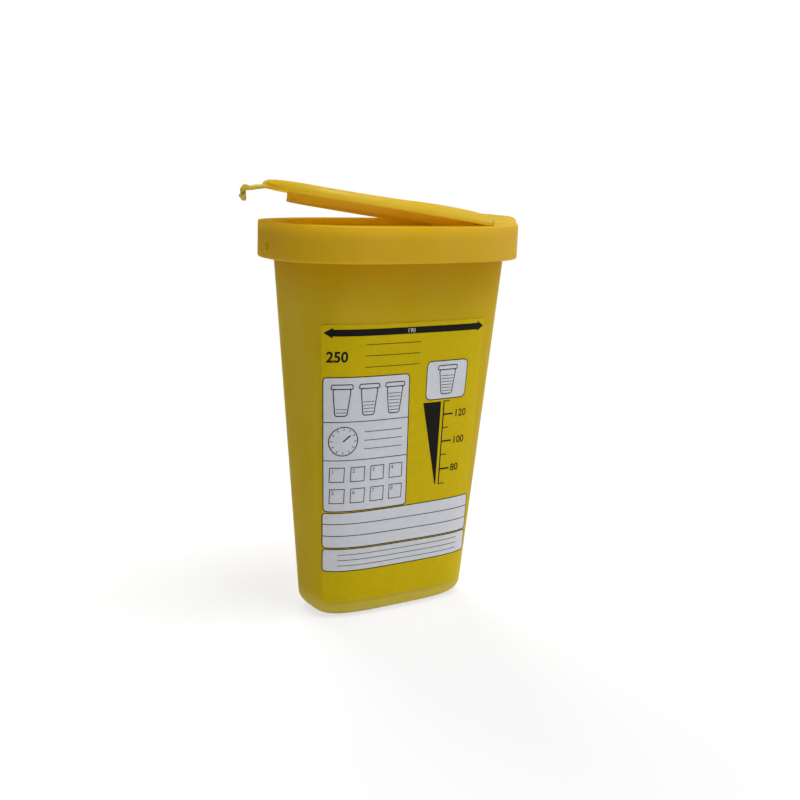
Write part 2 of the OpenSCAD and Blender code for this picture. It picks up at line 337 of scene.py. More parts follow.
def oval_shell_tree():
    """Sweeps a profile round an oval. Each point of the profile holds a half width, a half depth and
    a height as its position, and the squareness of its own oval as an attribute."""
    tree = bpy.data.node_groups.new("oval_shell", "GeometryNodeTree")
    tree.is_modifier = True
    for name, kind in (("Profile", "Geometry"), ("Points round the oval", "Int"), ("Plastic", "Material")):
        tree.interface.new_socket(name=name, in_out="INPUT", socket_type="NodeSocket" + kind)
    tree.interface.new_socket(name="Shell", in_out="OUTPUT", socket_type="NodeSocketGeometry")
    given = add_node(tree, "NodeGroupInput").outputs

    def sum_of(operation, *values):
        return maths(tree, operation, *values)

    profile = given["Profile"]
    points_round = given["Points round the oval"]
    size = add_node(tree, "GeometryNodeAttributeDomainSize", {"Geometry": profile}, component="MESH")
    columns = sum_of("ADD", points_round, 1)
    grid = add_node(tree, "GeometryNodeMeshGrid", {
        "Vertices X": size.outputs["Point Count"], "Vertices Y": columns})
    index = add_node(tree, "GeometryNodeInputIndex").outputs["Index"]
    row = sum_of("FLOOR", sum_of("DIVIDE", sum_of("ADD", index, 0.5), columns))
    column = sum_of("SUBTRACT", index, sum_of("MULTIPLY", row, columns))
    angle = sum_of("MULTIPLY", sum_of("DIVIDE", column, points_round), 2 * math.pi)

    def of_profile(data_type, field):
        sample = add_node(tree, "GeometryNodeSampleIndex", {
            "Geometry": profile, "Value": field, "Index": row}, data_type=data_type)
        return sample.outputs["Value"]

    position = add_node(tree, "GeometryNodeInputPosition").outputs["Position"]
    half_sizes = of_profile("FLOAT_VECTOR", position)
    half_sizes = add_node(tree, "ShaderNodeSeparateXYZ", {0: half_sizes}).outputs
    named = add_node(tree, "GeometryNodeInputNamedAttribute", {"Name": "squareness"}, data_type="FLOAT")
    power = sum_of("DIVIDE", 2, of_profile("FLOAT", named.outputs["Attribute"]))

    def round_the_oval(operation, half_size):
        wave = sum_of(operation, angle)
        steady = sum_of("POWER", sum_of("ABSOLUTE", wave), power)
        return sum_of("MULTIPLY", half_size, sum_of("MULTIPLY", sum_of("SIGN", wave), steady))

    place = add_node(tree, "ShaderNodeCombineXYZ", {
        "X": round_the_oval("COSINE", half_sizes["X"]), "Y": round_the_oval("SINE", half_sizes["Y"]),
        "Z": half_sizes["Z"]})
    shell = add_node(tree, "GeometryNodeSetPosition", {
        "Geometry": grid.outputs["Mesh"], "Position": place.outputs["Vector"]})
    for kind, sockets in (("MergeByDistance", {"Distance": MERGE_WITHIN}), ("SetShadeSmooth", {}),
                          ("RealizeInstances", {}), ("SetMaterial", {"Material": given["Plastic"]})):
        shell = add_node(tree, "GeometryNode" + kind, {"Geometry": shell.outputs["Geometry"], **sockets})
    add_node(tree, "NodeGroupOutput", {"Shell": shell.outputs["Geometry"]})
    return tree


oval_shell = oval_shell_tree()


def outward(mesh):
    """Turns the faces of a closed mesh outward."""
    work = bmesh.new()
    work.from_mesh(mesh)
    bmesh.ops.recalc_face_normals(work, faces=work.faces)
    work.to_mesh(mesh)
    work.free()


def final_mesh(obj):
    """A new mesh of an object as its modifiers or its curve make it."""
    return bpy.data.meshes.new_from_object(obj.evaluated_get(bpy.context.evaluated_depsgraph_get()))


def made_plain(obj):
    """Turns an object with modifiers into a plain mesh."""
    shape = final_mesh(obj)
    obj.modifiers.clear()
    obj.data = shape
    shape.name = obj.name


def swept(name, profile, material):
    """An object made by sweeping a profile round its oval."""
    mesh = bpy.data.meshes.new(name)
    mesh.from_pydata([tuple(row[:3]) for row in profile], [], [])
    squareness = mesh.attributes.new("squareness", "FLOAT", "POINT")
    squareness.data.foreach_set("value", [row[3] for row in profile])
    obj = added(name, mesh)
    modifier = obj.modifiers.new("oval_shell", "NODES")
    modifier.node_group = oval_shell
    settings = {"Points round the oval": OVAL_POINTS, "Plastic": material}
    for item in oval_shell.interface.items_tree:
        if item.name in settings:
            modifier[item.identifier] = settings[item.name]
    made_plain(obj)
    outward(obj.data)
    return obj


def tone_ramp(tree, factor, stops):
    """A colour that runs from one stop to the next as a factor grows."""
    ramp = add_node(tree, "ShaderNodeValToRGB", {"Fac": factor})
    for stop, (position, colour) in zip(ramp.color_ramp.elements, stops):
        stop.position = position
        stop.color = (*colour, 1)
    return ramp.outputs["Color"]


def noise(tree, place, scale, detail):
    """A random pattern from 0 to 1. The larger its scale, the finer it is."""
    node = add_node(tree, "ShaderNodeTexNoise", {"Vector": place, "Scale": scale, "Detail": detail})
    return node.outputs["Fac"]


def moulded_plastic(name, colour, see_through, gloss, pale=0.0, tones=()):
    """Satin polypropylene that lets some light through: a faint cloudy tone, a fine spark texture, and
    broad shallow waves. Each further tone is a colour that grows from one height to another."""
    material, tree, surface = new_material(name)
    place = add_node(tree, "ShaderNodeTexCoord").outputs["Object"]
    upright = add_node(tree, "ShaderNodeMapping", {"Vector": place, "Scale": (1, 1, STREAK_STRETCH)})
    streaks = noise(tree, upright.outputs["Vector"], scale=60, detail=2)
    cloud = maths(tree, "MULTIPLY", noise(tree, place, scale=38, detail=3), streaks)
    deep = [c * CLOUD_DEEP for c in colour]
    light = [c + (1 - c) * (CLOUD_PALE + pale) for c in colour]
    shown = tone_ramp(tree, cloud, ((0.12, deep), (0.42, light)))
    for further, z_from, z_to in tones:
        height = add_node(tree, "ShaderNodeSeparateXYZ", {0: place}).outputs["Z"]
        ends = ((z_from, z_to), (0, 1)) if z_from < z_to else ((z_to, z_from), (1, 0))
        nearness = ranged(tree, height, *ends, "SMOOTHSTEP")
        mixed = add_node(tree, "ShaderNodeMix", {
            "Factor": nearness, "A": shown, "B": (*further, 1)}, data_type="RGBA")
        shown = mixed.outputs["Result"]
    satin = ranged(tree, noise(tree, place, scale=160, detail=4), (0, 1), SATIN)
    spark = add_node(tree, "ShaderNodeBump", {
        "Strength": 0.03, "Distance": 0.04 * MM, "Height": noise(tree, place, scale=2600, detail=2)})
    waves = add_node(tree, "ShaderNodeBump", {
        "Strength": 0.35, "Distance": 0.5 * MM, "Height": noise(tree, place, scale=26, detail=1),
        "Normal": spark.outputs["Normal"]})
    feed(tree, surface, {"Base Color": shown, "Roughness": satin, "Specular IOR Level": gloss,
                         "Normal": waves.outputs["Normal"]})
    glow = add_node(tree, "ShaderNodeBsdfTranslucent", {"Color": (*LIGHT_THROUGH, 1)})
    show_mix(tree, see_through, surface, glow)
    return material


# Toward the brim the cup is painted darker as shade under the collar, and toward the base it is painted
# paler as a sheen.
cup_plastic = moulded_plastic("cup_plastic", CUP_YELLOW, CUP_SEE_THROUGH, CUP_GLOSS, tones=(
    (BRIM_PAINTED_SHADE, BRIM_SHADE_FROM, CUP_H), (BASE_PAINTED_SHEEN, BASE_SHEEN_FROM, BASE_SHEEN_TO)))


def quarter_turn(steps):
    """Angles from nothing to a right angle, in even steps."""
    return [math.pi / 2 * i / steps for i in range(steps + 1)]


foot_in = BASE_EDGE_R + FOOT_W
inner_r = BASE_EDGE_R - CUP_WALL / 2
edge_turns = quarter_turn(BASE_EDGE_STEPS)
underside = rounded([
    (0, 0, FOOT_H, CUP_SQUARENESS, 0),
    (*cup_section(FOOT_H, foot_in + FOOT_H), FOOT_ROOT_R),
    (*cup_section(0, foot_in), FOOT_EDGE_R),
    (*cup_section(0, BASE_EDGE_R + FOOT_EDGE_R), 0),
])
base_edge = [cup_section(BASE_EDGE_R * (1 - math.cos(t)), BASE_EDGE_R * (1 - math.sin(t)))
             for t in edge_turns]
brim = rounded([
    (*cup_section(BASE_EDGE_R + HOLD_ROW, 0), 0),
    (*cup_section(CUP_H - FLANGE_T, 0), FLANGE_ROOT_R),
    (FLANGE_A, FLANGE_B, CUP_H - FLANGE_T, COLLAR_SQUARENESS, BRIM_EDGE_R),
    (FLANGE_A, FLANGE_B, CUP_H, COLLAR_SQUARENESS, BRIM_EDGE_R),
    (*cup_section(CUP_H, CUP_WALL), BRIM_EDGE_R),
    (*cup_section(CUP_FLOOR + inner_r + HOLD_ROW, CUP_WALL), 0),
])
inside_edge = [cup_section(CUP_FLOOR + inner_r * (1 - math.cos(t)), CUP_WALL + inner_r * (1 - math.sin(t)))
               for t in reversed(edge_turns)]
inside_floor = [cup_section(CUP_FLOOR, CUP_WALL + inner_r + HOLD_ROW), (0, 0, CUP_FLOOR, CUP_SQUARENESS)]
cup = swept("cup", underside + base_edge + brim + inside_edge + inside_floor, cup_plastic)
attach(cup, "container")
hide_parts("container_body")


# Collar
# The fixed half of the lid: a yellow moulding that clips over the cup's flange for good. It has a
# deep skirt, a flat top ring with an inner lip, and a raised deck that the flap is hinged to.
LID_YELLOW = (0.86, 0.67, 0.006)
LID_SEE_THROUGH = 0.58
LID_GLOSS = 0.45
# The flap's and the deck's cap is the collar's moulding, but its yellow is made paler and greyer: its own
# colour with a painted highlight for the pale sheen on the flap's rounded edge.
CAP_SHEEN_YELLOW = (0.74, 0.675, 0.04)
CAP_SEE_THROUGH = 0.58
CAP_GLOSS = 0.5
COLLAR_WALL = 1.4 * MM
COLLAR_H = 12 * MM
RING_T = 1.4 * MM
RING_W = 3.1 * MM
RING_GAP = 0.02 * MM
LIP_WALL = 1.0 * MM
LIP_DEPTH = 5.0 * MM
LIP_EDGE_R = 0.35 * MM
BEAD_GAP = 0.1 * MM
BEAD_H = 1.2 * MM
BEAD_W = 1.4 * MM
BEAD_ROOT_R = 0.1 * MM
INNER_EDGE_R = 0.3 * MM
SKIRT_EDGE_R = 0.9 * MM
SKIRT_INNER_R = 0.4 * MM
RIM_EDGE_R = 0.35 * MM
SHOULDER_R = 0.45 * MM
DECK_FILLET_R = 0.95 * MM
DECK_FILLET_STEPS = 6
DECK_SUNK = 0.4 * MM
DECK_FALL = 0.9 * MM
DECK_REACH = 0.75 * MM
DECK_GAP = 0.06 * MM
CAP_T = 3.15 * MM
CAP_SEAT = 0.3 * MM
CAP_MARGIN = 1.6 * MM
CAP_END_MARGIN = 0.8 * MM
CAP_SHIFT = -0.25 * MM
CAP_EDGE_R = 2.7 * MM
CAP_EDGE_STEPS = 10
CAP_WALL = 1.5 * MM
NEAR_STEPS = (0, 0.25 * MM, 0.6 * MM, 1.2 * MM, 1.6 * MM)
TIP_STEPS = 44
TIP_CROWDING = 0.8
GROOVE_FOOT = 0.4 * MM
GROOVE_SLOPE = math.tan(math.radians(20))
SOCKET_W = 2.4 * MM
SOCKET_BOTTOM = 126.93 * MM
SOCKET_TOP = 129.85 * MM
SOCKET_DEPTH = COLLAR_WALL + 0.6 * MM
SHARP_ANGLE = math.radians(40)

joints = {joint["name"]: joint for joint in frame["joints"]}
HINGE = Vector(joints["flap_hinge"]["pos_m"])
collar_low, collar_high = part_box("lid_collar")
COLLAR_A = -collar_low.x
COLLAR_B = collar_high.y
COLLAR_TOP = CUP_H + RING_T
COLLAR_BOTTOM = COLLAR_TOP - COLLAR_H
LIP_Z = CUP_H - LIP_DEPTH
RING_UNDER = CUP_H + RING_GAP
BEAD_Z = CUP_H - FLANGE_T - BEAD_GAP
SEAT_Z = COLLAR_TOP + CAP_SEAT
CAP_TOP = SEAT_Z + CAP_T
MOUTH_A = CUP_BRIM_W / 2 - RING_W
MOUTH_B = CUP_BRIM_D / 2 - RING_W
CAP_A = COLLAR_A - CAP_END_MARGIN
CAP_B = COLLAR_B - CAP_MARGIN
DECK_X = HINGE.x + DECK_GAP


def collar_section(inset, z, radius):
    """One corner of the collar's profile, drawn in from its outside."""
    return (COLLAR_A - inset, COLLAR_B - inset, z, COLLAR_SQUARENESS, radius)


def mouth_section(out, z, radius):
    """One corner of the collar's profile beside the mouth."""
    return (MOUTH_A + out, MOUTH_B + out, z, COLLAR_SQUARENESS, radius)


lid_plastic = moulded_plastic("lid_plastic", LID_YELLOW, LID_SEE_THROUGH, LID_GLOSS)
# The cap's plastic is the collar's, painted paler as highlight.
cap_sheen_plastic = moulded_plastic("cap_sheen_plastic", CAP_SHEEN_YELLOW, CAP_SEE_THROUGH, CAP_GLOSS)
skirt_middle = collar_section(0, COLLAR_BOTTOM + COLLAR_H / 2, 0)
collar = swept("collar", rounded([
    skirt_middle,
    collar_section(0, COLLAR_TOP, SHOULDER_R),
    mouth_section(0, COLLAR_TOP, RIM_EDGE_R),
    mouth_section(0, LIP_Z, LIP_EDGE_R),
    mouth_section(LIP_WALL, LIP_Z, LIP_EDGE_R),
    mouth_section(LIP_WALL, RING_UNDER, INNER_EDGE_R),
    collar_section(COLLAR_WALL, RING_UNDER, INNER_EDGE_R),
    collar_section(COLLAR_WALL, BEAD_Z, BEAD_ROOT_R),
    collar_section(COLLAR_WALL + BEAD_W, BEAD_Z, INNER_EDGE_R),
    collar_section(COLLAR_WALL + BEAD_W, BEAD_Z - BEAD_H / 2, INNER_EDGE_R),
    collar_section(COLLAR_WALL, BEAD_Z - BEAD_H, INNER_EDGE_R),
    collar_section(COLLAR_WALL, COLLAR_BOTTOM, SKIRT_INNER_R),
    collar_section(0, COLLAR_BOTTOM, SKIRT_EDGE_R),
    skirt_middle,
]), lid_plastic)


def oval_depth(a, b, x):
    """Half the depth of a lid oval at a distance x from its middle."""
    return b * (1 - min(abs(x) / a, 1) ** COLLAR_SQUARENESS) ** (1 / COLLAR_SQUARENESS)


def part_oval(a, b, shift, limit, side, z):
    """The part of an oval beyond the line x = limit, toward side, as a closed loop of points. The first
    few points lie at fixed steps from the line, and the rest close up toward the oval's tip."""
    near = NEAR_STEPS[-1]
    span = abs(shift + side * a - limit)
    steps = [near + (span - near) * math.sin(t) ** TIP_CROWDING for t in quarter_turn(TIP_STEPS)[1:]]
    levels = [limit + side * step for step in (*NEAR_STEPS, *steps)]
    upper = [(x, oval_depth(a, b, x - shift), z) for x in levels]
    lower = [(x, -y, z) for x, y, z in reversed(upper[:-1])]
    return upper + lower


def tube(rings, closed=False):
    """Points and faces of a skin through rings. A closed one runs on from the last ring to the first."""
    count = len(rings[0])
    points = [p for ring in rings for p in ring]
    faces = []
    for j in range(len(rings) if closed else len(rings) - 1):
        low = j * count
        high = (j + 1) % len(rings) * count
        for i in range(count):
            after = (i + 1) % count
            faces.append((low + i, low + after, high + after, high + i))
    return points, faces


def part_oval_skin(rings):
    """Points and faces of a skin through part ovals, with strips across its two ends."""
    points, faces = tube(rings)
    count = len(rings[0])
    tip = count // 2
    for first in (0, len(points) - count):
        last = first + count - 1
        faces += [(first + i, first + i + 1, last - 1 - i, last - i) for i in range(tip - 1)]
        faces.append((first + tip - 1, first + tip, first + tip + 1))
    return points, faces


def solid(name, shells, material):
    """One object made of closed shells, with smooth faces that meet in sharp edges."""
    mesh = bpy.data.meshes.new(name)
    points = []
    faces = []
    for shell_points, shell_faces in shells:
        faces += [tuple(i + len(points) for i in face) for face in shell_faces]
        points += [tuple(p) for p in shell_points]
    mesh.from_pydata(points, [], faces)
    mesh.materials.append(material)
    outward(mesh)
    mesh.shade_smooth()
    mesh.set_sharp_from_angle(angle=SHARP_ANGLE)
    return added(name, mesh)


def cap_side(limit, side, foot, reach=0):
    """Rings of a lid cap's side, from the rows of its foot over the rounded edge to its top face."""
    edge = [(CAP_EDGE_R * (1 - math.cos(t)), CAP_TOP - CAP_EDGE_R * (1 - math.sin(t)))
            for t in quarter_turn(CAP_EDGE_STEPS)]
    widest = COLLAR_A - CAP_SHIFT
    return [part_oval(min(CAP_A + reach - inset, widest), CAP_B - inset, CAP_SHIFT, limit, side, z)
            for inset, z in (*foot, *edge, (CAP_EDGE_R + HOLD_ROW, CAP_TOP))]


def clamped(share):
    """A share, kept from 0 to 1."""
    return min(1, max(0, share))


def leaned(shell, low, rise):
    """Lifts the points of a shell by rise(x), wholly at the cap's top and not at all at a low height."""
    points, faces = shell
    return [(x, y, z + rise(x) * clamped((z - low) / (CAP_TOP - low))) for x, y, z in points], faces


def with_groove(shell):
    """Lowers the top to the sloped sides of the fold groove."""
    points, faces = shell
    cut = []
    for x, y, z in points:
        slope = HINGE.z + max(0, abs(x - HINGE.x) - GROOVE_FOOT) * GROOVE_SLOPE
        cut.append((x, y, min(z, slope)))
    return cut, faces


def slab(x0, x1, y_half, z0, z1):
    """A plain block, as points and faces."""
    corners = ((x0, -y_half), (x1, -y_half), (x1, y_half), (x0, y_half))
    points = [(x, y, z) for z in (z0, z1) for x, y in corners]
    return points, [(0, 3, 2, 1), (4, 5, 6, 7), (0, 1, 5, 4), (1, 2, 6, 5), (2, 3, 7, 6), (3, 0, 4, 7)]


def deck_fall(x):
    """The deck's top falls toward the hinge end of the lid."""
    return -DECK_FALL * (x - DECK_X) / (CAP_A - DECK_X)


deck_foot = COLLAR_TOP - DECK_SUNK
fillet = [(-DECK_FILLET_R, deck_foot)]
for t in quarter_turn(DECK_FILLET_STEPS):
    fillet.append((-DECK_FILLET_R * (1 - math.sin(t)), COLLAR_TOP + DECK_FILLET_R * (1 - math.cos(t))))
hollow = [part_oval(MOUTH_A, MOUTH_B, 0, DECK_X + CAP_WALL, 1, z)
          for z in (CAP_TOP - CAP_WALL, deck_foot)]
deck_skin = part_oval_skin(hollow + cap_side(DECK_X, 1, fillet, DECK_REACH))
deck_shell = with_groove(leaned(deck_skin, COLLAR_TOP + DECK_FILLET_R, deck_fall))
end_half = oval_depth(MOUTH_A, MOUTH_B, DECK_X) + LIP_WALL / 2
end_wall = slab(DECK_X, DECK_X + CAP_WALL, end_half, LIP_Z, COLLAR_TOP)
deck = solid("hinge_deck", [deck_shell, end_wall], cap_sheen_plastic)

socket_space = slab(-COLLAR_A - MM, -COLLAR_A + SOCKET_DEPTH, SOCKET_W / 2, SOCKET_BOTTOM, SOCKET_TOP)
cutter = solid("socket_cutter", [socket_space], lid_plastic)
hole = collar.modifiers.new("socket", "BOOLEAN")
hole.operation = "DIFFERENCE"
hole.object = cutter
made_plain(collar)
collar.data.set_sharp_from_angle(angle=SHARP_ANGLE)
bpy.data.objects.remove(cutter)
for piece in (collar, deck):
    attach(piece, "container")
    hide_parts("lid_collar")


# Flap
# The moving half of the lid, in one moulding with the collar: a shallow cap with a rounded edge and a
# ring-shaped plug under it that closes the mouth. It stands open by the angle that the hinge gives.
FLAP_SEAT = 0.1 * MM
FLAP_GAP = 0.12 * MM
FLAP_CROWN = 0.55 * MM
FLAP_DIP = 0.25 * MM
FLAP_WAVE = 76 * MM
FOOT_CHAMFER = 0.2 * MM
FOOT_ROUND = 0.3 * MM
FOOT_MIDDLE = 0.09 * MM
TIP_RISE = 0.5 * MM
TIP_RISE_POWER = 8
TIP_LIFT = 0.75 * MM
LIFT_FROM = 0.3
LIFT_TO = 0.9
LIFT_SIDE = 0.75
PLUG_DEPTH = 2.8 * MM
PLUG_WALL = 1.2 * MM
PLUG_GAP = 0.4 * MM
PLUG_SETBACK = 3.0 * MM
PLUG_EDGE = 0.3 * MM
PLUG_ROOT = 0.3 * MM
STRAP_W = 5.0 * MM
LATCH_FILM_R = 0.4 * MM
LATCH_OUT = 0.925 * MM
LATCH_UP = 0.2 * MM
ROOT_GAP = 0.2 * MM
LATCH_X = -(COLLAR_A + LATCH_OUT)
LATCH_Z = SEAT_Z + LATCH_UP + LATCH_FILM_R
FLAP_X = HINGE.x - FLAP_GAP
flap_open = -math.radians(joints["flap_hinge"]["range_deg"][0])
flap_turn = Matrix.Translation(HINGE) @ Matrix.Rotation(flap_open, 4, "Y") @ Matrix.Translation(-HINGE)


def turned(shell, turn):
    """Takes a shell from where it is drawn to where it stands."""
    points, faces = shell
    return [turn @ Vector(p) for p in points], faces


def share_out(x):
    """How far a place lies along the flap, from 0 at the hinge to 1 at the tip."""
    return (HINGE.x - x) / (HINGE.x + CAP_A)


def flap_crown(x):
    """The flap's top is a little warped: high near the hinge, low beyond the middle, high at the tip."""
    wave = math.sin(2 * math.pi * (HINGE.x - x) / FLAP_WAVE)
    return TIP_RISE * share_out(x) ** TIP_RISE_POWER + wave * (FLAP_CROWN if wave > 0 else FLAP_DIP)


def eased(share):
    """A share from 0 to 1 that starts and ends gently."""
    share = clamped(share)
    return share * share * (3 - 2 * share)


def lifted(shell, low):
    """Lifts the flap's foot a little toward the tip and the far side, as the flap is warped."""
    points, faces = shell
    moved = []
    for x, y, z in points:
        toward_tip = eased((share_out(x) - LIFT_FROM) / (LIFT_TO - LIFT_FROM))
        toward_back = eased(LIFT_SIDE + y / CAP_B)
        toward_foot = clamped((CAP_TOP - z) / (CAP_TOP - low))
        moved.append((x, y, z + TIP_LIFT * toward_foot * toward_tip * toward_back))
    return moved, faces


def cavity_ring(out, z):
    """One ring of the hollow under the flap's cap."""
    inset = CAP_WALL - out
    return part_oval(CAP_A - inset, CAP_B - inset, CAP_SHIFT, FLAP_X - CAP_WALL, -1, z)


def plug_ring(inset, z):
    """One ring of the plug, drawn in from its outside."""
    gap = PLUG_GAP + inset
    return part_oval(MOUTH_A - gap, MOUTH_B - gap, 0, FLAP_X - PLUG_SETBACK - inset, -1, z)


cap_foot = COLLAR_TOP + FLAP_SEAT
cavity = [cavity_ring(0, CAP_TOP - CAP_WALL), cavity_ring(0, cap_foot + FOOT_CHAMFER),
          cavity_ring(FOOT_CHAMFER, cap_foot)]
foot_edge = [(FOOT_ROUND, cap_foot), (FOOT_MIDDLE, cap_foot + FOOT_MIDDLE), (0, cap_foot + FOOT_ROUND)]
cap_skin = part_oval_skin(cavity + cap_side(FLAP_X, -1, foot_edge))
cap_shell = with_groove(leaned(lifted(cap_skin, cap_foot), cap_foot, flap_crown))
root_shell = slab(LATCH_X + ROOT_GAP, CAP_SHIFT - CAP_A + CAP_WALL, STRAP_W / 2,
                  LATCH_Z - LATCH_FILM_R, LATCH_Z + LATCH_FILM_R)
flap = solid("flap", [turned(cap_shell, flap_turn), turned(root_shell, flap_turn)], cap_sheen_plastic)

plug_top = CAP_TOP - CAP_WALL + PLUG_ROOT
plug_foot = SEAT_Z - PLUG_DEPTH
plug_rows = [
    (0, plug_top),
    (0, plug_foot + PLUG_EDGE),
    (PLUG_EDGE / 3, plug_foot + PLUG_EDGE / 3),
    (PLUG_EDGE, plug_foot),
    (PLUG_WALL - PLUG_EDGE, plug_foot),
    (PLUG_WALL, plug_foot + PLUG_EDGE),
    (PLUG_WALL, plug_top),
]
plug_shell = tube([plug_ring(*row) for row in plug_rows], closed=True)
plug = solid("flap_plug", [turned(plug_shell, flap_turn)], lid_plastic)
for piece in (flap, plug):
    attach(piece, "flap")
    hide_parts("lid_flap")


# Flap's film hinge
# A thin web of the same moulding between the deck and the flap, drawn bent to the angle at which the
# flap stands open. The worked polypropylene has turned paler there.
FILM_T = 0.36 * MM
FILM_REACH = 0.75 * MM
FILM_STEPS = 12
FILM_PALENESS = 0.10
film_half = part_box("flap_hinge_web")[1].y
pale_film = moulded_plastic("worked_film", LID_YELLOW, LID_SEE_THROUGH, LID_GLOSS, pale=FILM_PALENESS)


def capped(rings):
    """Points and faces of a skin through rings, with one flat face at each end."""
    points, faces = tube(rings)
    count = len(rings[0])
    return points, [*faces, tuple(range(count)), tuple(range(len(points) - count, len(points)))]


def bent_film(name, centre, half_width, thickness, reach, first_turn, last_turn):
    """An even film about a hinge line, which bends from a first angle to a last one."""
    half_t = thickness / 2
    corners = ((-half_width, -half_t), (half_width, -half_t), (half_width, half_t), (-half_width, half_t))
    rings = []
    for i in range(FILM_STEPS + 1):
        share = i / FILM_STEPS
        lean = Matrix.Rotation(first_turn + (last_turn - first_turn) * share, 4, "Y")
        step = reach * (2 * share - 1)
        rings.append([centre + lean @ Vector((step, y, z)) for y, z in corners])
    return solid(name, [capped(rings)], pale_film)


film = bent_film("flap_film", HINGE, film_half, FILM_T, FILM_REACH, flap_open, 0)
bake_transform(film)
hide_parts("flap_hinge_web")


# Latch
# A small strap on a film hinge at the flap's free end, moulded with the flap. It narrows to a rounded
# end with a finger nub on top and a barbed hook below, which snaps into the socket in the collar.
LATCH_YELLOW = (0.73, 0.575, 0.07)
LATCH_SEE_THROUGH = 0.15
LATCH_GLOSS = 0.2
LATCH_FOLD = math.radians(12)
STRAP_L = 8.0 * MM
STRAP_T = 1.25 * MM
STRAP_SQUARENESS = 4.0
STRAP_POINTS = 24
HOOK_T = 1.3 * MM
HOOK_W = 1.8 * MM
HOOK_L = 3.25 * MM
HOOK_NECK = 1.2 * MM
HOOK_NECK_OUT = 0.1 * MM
HOOK_BARB = 0.68 * MM
BARB_FALL = 0.05 * MM
BARB_H = 0.5 * MM
HOOK_ROOT = 0.3 * MM
HOOK_CORNER_R = 0.14 * MM
HOOK_EDGE_R = 0.3 * MM
HOOK_EDGE_STEPS = 4

# The strap's sections from the film to its end, in millimetres: distance out, half width, underside, top.
STRAP_SECTIONS = (
    (0.45, 2.5, -0.40, 0.40), (0.9, 2.5, -0.40, 0.50), (1.3, 2.45, -0.42, 0.80),
    (2.0, 2.32, -0.45, 0.94), (3.0, 2.14, -0.52, 0.90), (4.2, 1.93, -0.60, 0.80),
    (5.2, 1.75, -0.67, 0.70), (5.9, 1.62, -0.71, 0.68), (6.35, 1.55, -0.74, 0.84),
    (6.7, 1.48, -0.75, 1.10), (7.0, 1.42, -0.76, 1.28), (7.35, 1.36, -0.76, 1.28),
    (7.65, 1.30, -0.76, 1.06), (7.9, 1.24, -0.76, 0.80), (8.2, 1.14, -0.76, 0.52),
    (8.5, 1.02, -0.74, 0.22), (8.7, 0.88, -0.70, -0.02), (8.82, 0.66, -0.62, -0.20))

LATCH = Vector(joints["latch_hinge"]["pos_m"])
latch_turn = Matrix.Translation(LATCH) @ Matrix.Rotation(flap_open - LATCH_FOLD, 4, "Y")
latch_plastic = moulded_plastic("latch_plastic", LATCH_YELLOW, LATCH_SEE_THROUGH, LATCH_GLOSS)


def strap_section(out, half_width, under, top):
    """One rounded cross-section of the strap, which is drawn straight out from its film."""
    half_height = (top - under) / 2
    ring = []
    for i in range(STRAP_POINTS):
        t = 2 * math.pi * i / STRAP_POINTS
        across = math.copysign(abs(math.cos(t)) ** (2 / STRAP_SQUARENESS), math.cos(t))
        up = math.copysign(abs(math.sin(t)) ** (2 / STRAP_SQUARENESS), math.sin(t))
        ring.append((-out * MM, half_width * across * MM, (under + half_height * (1 + up)) * MM))
    return ring


def rounded_loop(corners, radius, steps=6):
    """A closed outline with rounded corners."""
    loop = []
    for i, corner in enumerate(corners):
        here = Vector(corner)
        before = Vector(corners[i - 1]) - here
        after = Vector(corners[(i + 1) % len(corners)]) - here
        first = here + before.normalized() * radius
        last = here + after.normalized() * radius
        loop += [tuple(p) for p in corner_curve(first, here, last, steps)]
    return loop


def rounded_plate(outline, half_depth, edge_r):
    """A plate with a rounded edge all round, as points and faces. The outline runs anticlockwise."""
    corners = [Vector(p) for p in outline]
    inward = []
    for i, here in enumerate(corners):
        before = (here - corners[i - 1]).normalized()
        after = (corners[(i + 1) % len(corners)] - here).normalized()
        lean = Vector((-before.y - after.y, before.x + after.x))
        inward.append(lean.normalized() / max(0.5, lean.length / 2))
    rows = [(edge_r * (1 - math.sin(t)), edge_r * (1 - math.cos(t)) - half_depth)
            for t in quarter_turn(HOOK_EDGE_STEPS)]
    rows += [(inset, -depth) for inset, depth in reversed(rows)]
    return capped([[(*(here + lean * inset), depth) for here, lean in zip(corners, inward)]
                   for inset, depth in rows])


hook_half = HOOK_T / 2
neck_x = -hook_half - HOOK_NECK_OUT
barb_x = -hook_half - HOOK_BARB
hook_side = rounded_loop([
    (hook_half, HOOK_ROOT),
    (neck_x, HOOK_ROOT),
    (neck_x, -HOOK_NECK),
    (barb_x, -HOOK_NECK - BARB_FALL),
    (barb_x, -HOOK_NECK - BARB_H),
    (-hook_half / 2, -HOOK_L),
    (hook_half / 2, -HOOK_L),
    (hook_half, hook_half - HOOK_L),
], HOOK_CORNER_R, steps=3)
hook_points, hook_faces = rounded_plate(hook_side, HOOK_W / 2, HOOK_EDGE_R)
hook_shell = [(x - STRAP_L, -depth, z - STRAP_T / 2) for x, z, depth in hook_points], hook_faces
strap_shell = capped([strap_section(*row) for row in STRAP_SECTIONS])
strap = solid("latch_strap", [turned(strap_shell, latch_turn)], latch_plastic)
hook = solid("latch_hook", [turned(hook_shell, latch_turn)], latch_plastic)
for piece, node in ((strap, "latch_strap"), (hook, "latch_hook")):
    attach(piece, "latch")
    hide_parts(node)


# Latch's film hinge
# The thin web between the flap and the strap, of the same moulding, drawn folded by the latch's small
# fold angle. It is paler where it is worked.
LATCH_FILM_W = STRAP_W - 0.1 * MM
LATCH_FILM_T = 0.4 * MM
LATCH_FILM_REACH = 0.8 * MM
latch_film = bent_film("latch_film", LATCH, LATCH_FILM_W / 2, LATCH_FILM_T, LATCH_FILM_REACH,
                       flap_open - LATCH_FOLD, flap_open)
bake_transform(latch_film)
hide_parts("latch_hinge_web")


